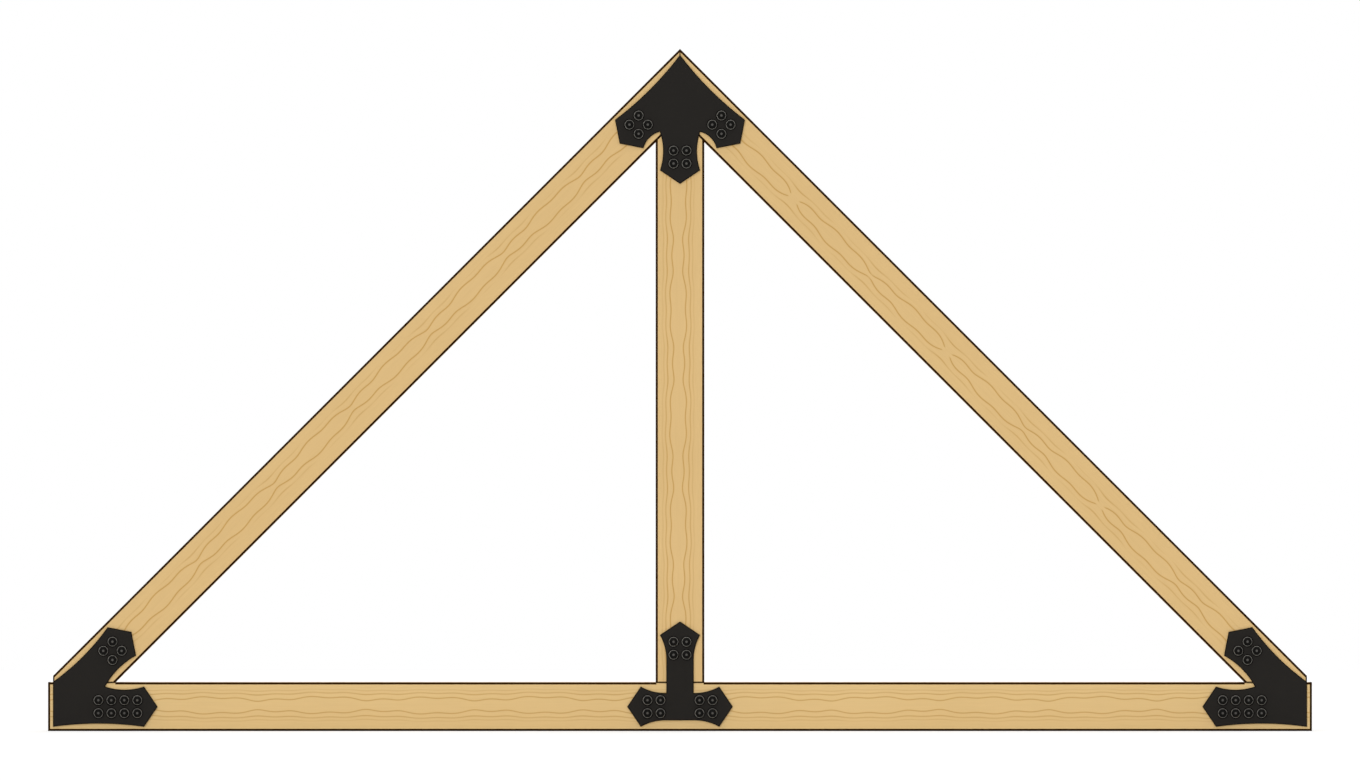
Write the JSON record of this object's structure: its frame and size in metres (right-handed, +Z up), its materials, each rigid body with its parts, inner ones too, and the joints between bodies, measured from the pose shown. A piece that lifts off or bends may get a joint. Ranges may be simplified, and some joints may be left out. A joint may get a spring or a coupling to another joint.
{
  "type": "wooden roof truss",
  "caption": "King-post roof truss of square timbers: tie beam, two 45 degree rafters and a post, joined by shaped black steel plates bolted through on both faces.",
  "frame": {"origin": "middle of the tie beam's underside", "axes": "+X along the span, +Y through the thickness from front to back, +Z up to the apex"},
  "size_m": [4.9484, 0.2352, 2.6705],
  "materials": {
    "timber": "planed softwood, clear",
    "plate_steel": "black powder coat, satin",
    "bolt_steel": "black coated, satin"
  },
  "bodies": {
    "root": {"tie_beam": "timber", "rafter_left": "timber", "rafter_right": "timber", "king_post": "timber", "apex_plate_front": "plate_steel", "apex_plate_back": "plate_steel", "king_foot_plate_front": "plate_steel", "king_foot_plate_back": "plate_steel", "heel_plate_left_front": "plate_steel", "heel_plate_left_back": "plate_steel", "heel_plate_right_front": "plate_steel", "heel_plate_right_back": "plate_steel", "apex_bolts": "bolt_steel", "apex_nuts": "bolt_steel", "king_foot_bolts": "bolt_steel", "king_foot_nuts": "bolt_steel", "heel_left_bolts": "bolt_steel", "heel_left_nuts": "bolt_steel", "heel_right_bolts": "bolt_steel", "heel_right_nuts": "bolt_steel"}
  },
  "joints": []
}
